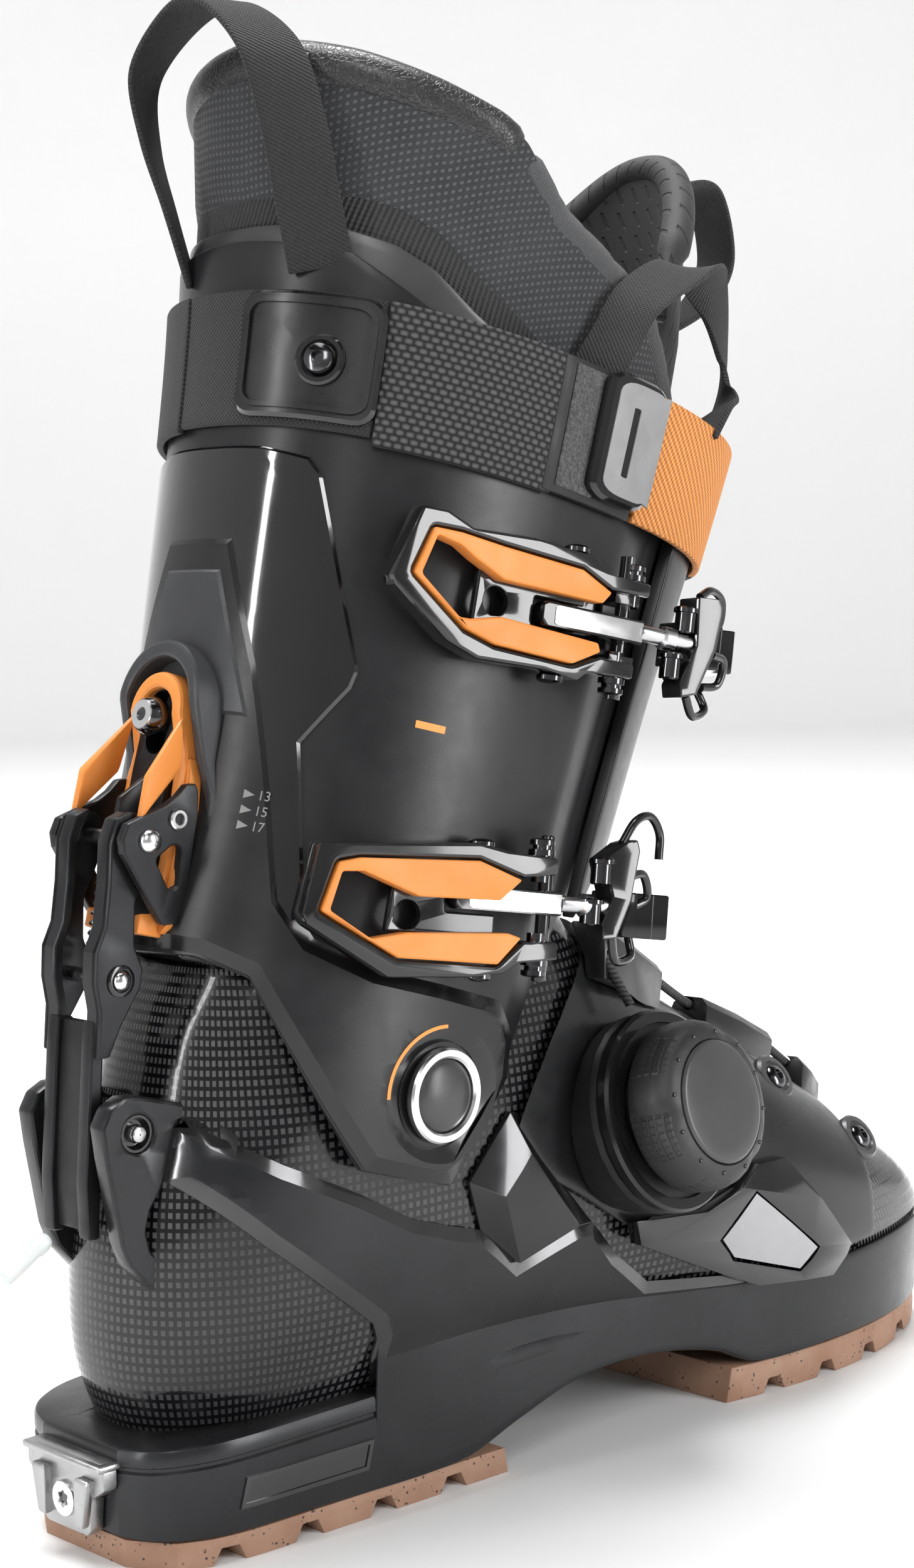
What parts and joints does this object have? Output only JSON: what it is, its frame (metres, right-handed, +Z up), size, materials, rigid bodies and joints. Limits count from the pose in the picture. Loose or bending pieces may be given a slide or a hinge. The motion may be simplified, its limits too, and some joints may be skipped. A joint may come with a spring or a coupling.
{
  "type": "alpine ski boot",
  "caption": "Right alpine touring ski boot: rigid lower shell with laced instep dial, hinged cuff with lever buckles, heel walk lock and soft liner.",
  "frame": {"origin": "centre of the heel tread's contact face on the ground", "axes": "+X towards the toe, +Y towards the inner (medial) side, +Z up along the boot's height"},
  "size_m": [0.3228, 0.1406, 0.3775],
  "materials": {
    "black_gloss": "gloss",
    "black_matte": "matte",
    "charcoal": "satin, fine scratches",
    "frame_grey": "satin",
    "liner_textile": "woven",
    "webbing": "coarse weave",
    "orange": "satin",
    "gum_rubber": "speckled",
    "steel": "satin",
    "dark_steel": "dark chrome",
    "clear_tab": "translucent"
  },
  "bodies": {
    "lower_shell": {"lower_shell": "black_gloss", "boot_board": "black_matte", "instep_flap": "frame_grey", "sole_base": "frame_grey", "tread_heel": "gum_rubber", "tread_forefoot": "gum_rubber", "exo_frame_lateral": "frame_grey", "exo_frame_medial": "frame_grey", "heel_bracket": "frame_grey", "heel_cross_pin": "steel", "heel_tech_fitting": "dark_steel", "toe_insert_lateral": "steel", "toe_insert_medial": "steel", "liner_foot": "liner_textile", "pivot_pin_lateral": "dark_steel", "pivot_pin_medial": "dark_steel", "lace": "webbing", "lace_guide_rear": "frame_grey", "lace_guide_middle": "frame_grey", "lace_guide_front": "frame_grey", "lace_guide_medial": "frame_grey", "dial_base": "black_matte", "dial_guard": "dark_steel"},
    "cuff": {"cuff_shell": "charcoal", "liner_collar": "liner_textile", "liner_tongue": "liner_textile", "pull_loop_rear": "webbing", "pull_loop_lateral": "webbing", "strap_anchor_lateral": "black_matte", "strap_elastic": "webbing", "strap_buckle_plate": "frame_grey", "strap_webbing": "webbing", "backbone_panel": "black_gloss", "spine_frame": "frame_grey", "carrier_bolt": "dark_steel", "upper_buckle_base": "dark_steel", "upper_buckle_rack": "dark_steel", "lower_buckle_base": "dark_steel", "lower_buckle_rack": "dark_steel"},
    "lean_carrier": {"lean_carrier": "orange", "lock_bracket": "charcoal"},
    "walk_lever": {"walk_lever": "charcoal", "lever_spring": "steel"},
    "pull_tab": {"pull_tab": "clear_tab"},
    "dial_spool": {"dial_spool": "black_matte", "dial_shaft": "dark_steel"},
    "dial_knob": {"dial_knob": "frame_grey", "dial_cap": "frame_grey"},
    "upper_buckle_lever": {"upper_buckle_lever": "black_gloss", "upper_buckle_insert": "orange", "upper_buckle_rivet": "dark_steel"},
    "upper_buckle_adjuster": {"upper_buckle_adjuster": "steel", "upper_buckle_hook": "dark_steel"},
    "upper_buckle_bail": {"upper_buckle_bail": "dark_steel"},
    "lower_buckle_lever": {"lower_buckle_lever": "black_gloss", "lower_buckle_insert": "orange", "lower_buckle_rivet": "dark_steel"},
    "lower_buckle_adjuster": {"lower_buckle_adjuster": "steel", "lower_buckle_hook": "dark_steel"},
    "lower_buckle_bail": {"lower_buckle_bail": "dark_steel"}
  },
  "joints": [
    {"name": "cuff_pivot", "type": "hinge", "parent": "lower_shell", "child": "cuff", "pos_m": [0.026, 0, 0.107], "axis": [0, 1, 0], "range_deg": [-3, 10]},
    {"name": "lean_slide", "type": "slide", "parent": "cuff", "child": "lean_carrier", "axis": [0.2588, 0, 0.9659], "range_m": [-0.002, 0.002]},
    {"name": "walk_lever_flip", "type": "hinge", "parent": "lean_carrier", "child": "walk_lever", "pos_m": [-0.035, 0, 0.173], "axis": [0, 1, 0], "range_deg": [0, 125], "deforming": ["lever_spring"]},
    {"name": "pull_tab_swing", "type": "hinge", "parent": "walk_lever", "child": "pull_tab", "pos_m": [-0.053, 0, 0.08], "axis": [0, 1, 0], "range_deg": [-25, 60]},
    {"name": "dial_turn", "type": "hinge", "parent": "lower_shell", "child": "dial_spool", "pos_m": [0.1015, -0.0505, 0.09], "axis": [0.0711, -0.9637, 0.2572], "continuous": true},
    {"name": "dial_pull", "type": "slide", "parent": "dial_spool", "child": "dial_knob", "axis": [0.0711, -0.9637, 0.2572], "range_m": [0, 0.004]},
    {"name": "upper_lever_open", "type": "hinge", "parent": "cuff", "child": "upper_buckle_lever", "pos_m": [0.07874, -0.06397, 0.22209], "axis": [0.201, 0.0118, 0.9795], "range_deg": [0, 120]},
    {"name": "upper_adjuster_swing", "type": "hinge", "parent": "upper_buckle_lever", "child": "upper_buckle_adjuster", "pos_m": [0.06144, -0.06046, 0.2256], "axis": [0.201, 0.0118, 0.9795], "range_deg": [-120, 0]},
    {"name": "upper_bail_lift", "type": "hinge", "parent": "upper_buckle_adjuster", "child": "upper_buckle_bail", "pos_m": [0.09398, -0.07042, 0.21904], "axis": [0.201, 0.0118, 0.9795], "range_deg": [-40, 0]},
    {"name": "lower_lever_open", "type": "hinge", "parent": "cuff", "child": "lower_buckle_lever", "pos_m": [0.05131, -0.06161, 0.15332], "axis": [0.1572, 0.0281, 0.9872], "range_deg": [0, 120]},
    {"name": "lower_adjuster_swing", "type": "hinge", "parent": "lower_buckle_lever", "child": "lower_buckle_adjuster", "pos_m": [0.03508, -0.05718, 0.15577], "axis": [0.1572, 0.0281, 0.9872], "range_deg": [-120, 0]},
    {"name": "lower_bail_lift", "type": "hinge", "parent": "lower_buckle_adjuster", "child": "lower_buckle_bail", "pos_m": [0.06623, -0.06909, 0.15115], "axis": [0.1572, 0.0281, 0.9872], "range_deg": [-40, 0]}
  ],
  "couplings": [
    {"joint": "upper_adjuster_swing", "follows": "upper_lever_open", "ratio": -1},
    {"joint": "lower_adjuster_swing", "follows": "lower_lever_open", "ratio": -1}
  ]
}
